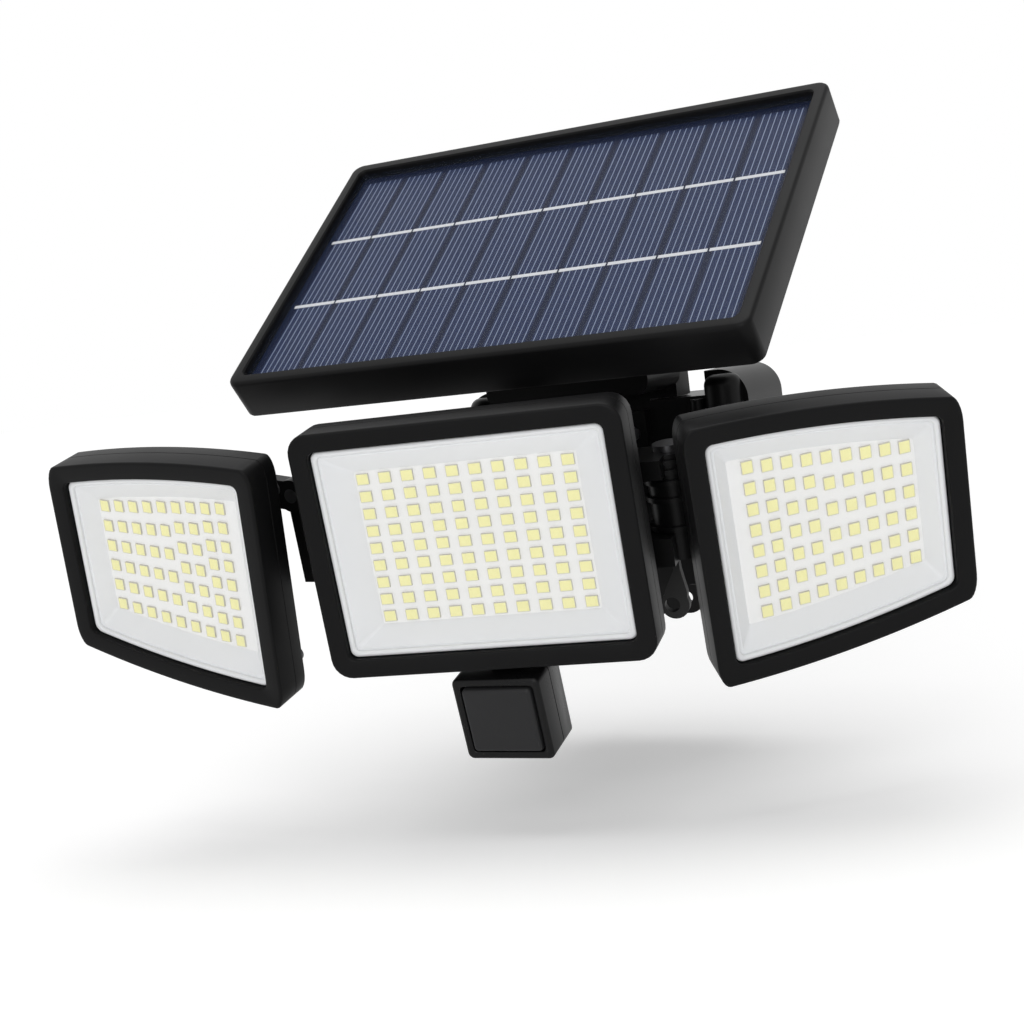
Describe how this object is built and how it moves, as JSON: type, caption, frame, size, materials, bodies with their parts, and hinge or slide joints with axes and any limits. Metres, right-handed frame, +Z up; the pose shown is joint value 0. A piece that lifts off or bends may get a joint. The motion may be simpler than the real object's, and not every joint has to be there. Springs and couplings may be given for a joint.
{
  "type": "motion sensor security light",
  "caption": "Wall-mounted solar security light with a tilting panel, three hinged flood heads of light chips and a swivelling motion sensor.",
  "frame": {"origin": "centre of the wall plate's back face, where it lies on the wall", "axes": "+Y into the wall, +Z up, +X to the right seen from the front; the front faces -Y"},
  "size_m": [0.2948, 0.1754, 0.2036],
  "materials": {
    "black_housing": "fine satin moulded plastic",
    "clear_cover": "clear polycarbonate",
    "sensor_window": "dark infrared window",
    "white_reflector": "white moulded reflector",
    "light_chips": "yellow phosphor",
    "white_board": "white solder mask on aluminium",
    "green_board": "green circuit board",
    "panel_glazing": "clear laminate",
    "solar_cells": "dark blue cells",
    "steel": "zinc plated",
    "black_rubber": "moulded rubber",
    "battery_wrap": "shrink sleeve",
    "grey_button": "silicone key"
  },
  "bodies": {
    "base": {"wall_plate": "black_housing", "main_housing": "black_housing", "housing_seal": "black_rubber", "battery_cells": "battery_wrap", "control_board": "green_board", "arm_screws": "steel", "swivel_arm": "black_housing", "panel_stand": "black_housing"},
    "mode_key": {"mode_button": "grey_button"},
    "swivel": {"swivel_block": "black_housing", "swivel_cap": "black_housing"},
    "lamp": {"lamp_yoke": "black_housing", "tilt_pin": "steel", "left_barrel_pin": "steel", "right_barrel_pin": "steel", "charge_plug": "black_rubber", "centre_bezel": "black_housing", "centre_back": "black_housing", "centre_reflector": "white_reflector", "centre_lens": "clear_cover", "centre_board": "white_board", "centre_leds": "light_chips", "centre_screws": "steel"},
    "sensor": {"sensor_front": "black_housing", "sensor_back": "black_housing", "sensor_lens": "sensor_window", "sensor_board": "green_board", "sensor_element": "steel", "sensor_stem": "black_housing"},
    "panel": {"panel_tray": "black_housing", "panel_glass": "panel_glazing", "panel_cells": "solar_cells", "panel_base": "black_housing", "panel_pin": "steel", "panel_knob": "black_housing"},
    "left_swing": {"left_sleeve": "black_housing"},
    "left_flap": {"left_arm": "black_housing", "left_flap_pin": "steel"},
    "left_head": {"left_bezel": "black_housing", "left_back": "black_housing", "left_reflector": "white_reflector", "left_lens": "clear_cover", "left_board": "white_board", "left_leds": "light_chips", "left_screws": "steel", "left_tilt_pin": "steel"},
    "right_swing": {"right_sleeve": "black_housing"},
    "right_flap": {"right_arm": "black_housing", "right_flap_pin": "steel"},
    "right_head": {"right_bezel": "black_housing", "right_back": "black_housing", "right_reflector": "white_reflector", "right_lens": "clear_cover", "right_board": "white_board", "right_leds": "light_chips", "right_screws": "steel", "right_tilt_pin": "steel"}
  },
  "joints": [
    {"name": "lamp_yaw", "type": "hinge", "parent": "base", "child": "swivel", "pos_m": [0, -0.12, 0], "axis": [0, 0, 1], "range_deg": [-18, 6]},
    {"name": "lamp_tilt", "type": "hinge", "parent": "swivel", "child": "lamp", "pos_m": [0, -0.12, 0], "axis": [0.9813, 0.1925, 0], "range_deg": [-5, 20]},
    {"name": "panel_tilt", "type": "hinge", "parent": "base", "child": "panel", "pos_m": [0, -0.055, 0.08], "axis": [1, 0, 0], "range_deg": [-30, 3]},
    {"name": "sensor_turn", "type": "hinge", "parent": "lamp", "child": "sensor", "pos_m": [0.00214, -0.12796, -0.05644], "axis": [0.0321, -0.1638, 0.986], "range_deg": [-45, 69]},
    {"name": "left_yaw", "type": "hinge", "parent": "lamp", "child": "left_swing", "pos_m": [-0.05695, -0.1206, 0.00567], "axis": [0.0321, -0.1638, 0.986], "range_deg": [-20, 11]},
    {"name": "left_roll", "type": "hinge", "parent": "left_swing", "child": "left_flap", "pos_m": [-0.07155, -0.12236, 0.01803], "axis": [0.0192, 0.9864, 0.1632], "range_deg": [-10, 6]},
    {"name": "left_tilt", "type": "hinge", "parent": "left_flap", "child": "left_head", "pos_m": [-0.10408, -0.14468, 0.00266], "axis": [0.9817, 0.0123, -0.1902], "range_deg": [-12, 12]},
    {"name": "right_yaw", "type": "hinge", "parent": "lamp", "child": "right_swing", "pos_m": [0.05296, -0.09904, 0.00567], "axis": [0.0321, -0.1638, 0.986], "range_deg": [-12, 20]},
    {"name": "right_roll", "type": "hinge", "parent": "right_swing", "child": "right_flap", "pos_m": [0.06559, -0.0924, 0.01853], "axis": [-0.5767, 0.8027, 0.1521], "range_deg": [-6, 6]},
    {"name": "right_tilt", "type": "hinge", "parent": "right_flap", "child": "right_head", "pos_m": [0.09826, -0.09369, -0.00235], "axis": [0.817, 0.5673, 0.1035], "range_deg": [-12, 12]},
    {"name": "mode_press", "type": "slide", "parent": "base", "child": "mode_key", "axis": [0, 0, 1], "range_m": [0, 0.001], "stiffness_N_per_m": 400, "springref_m": -0.001}
  ]
}
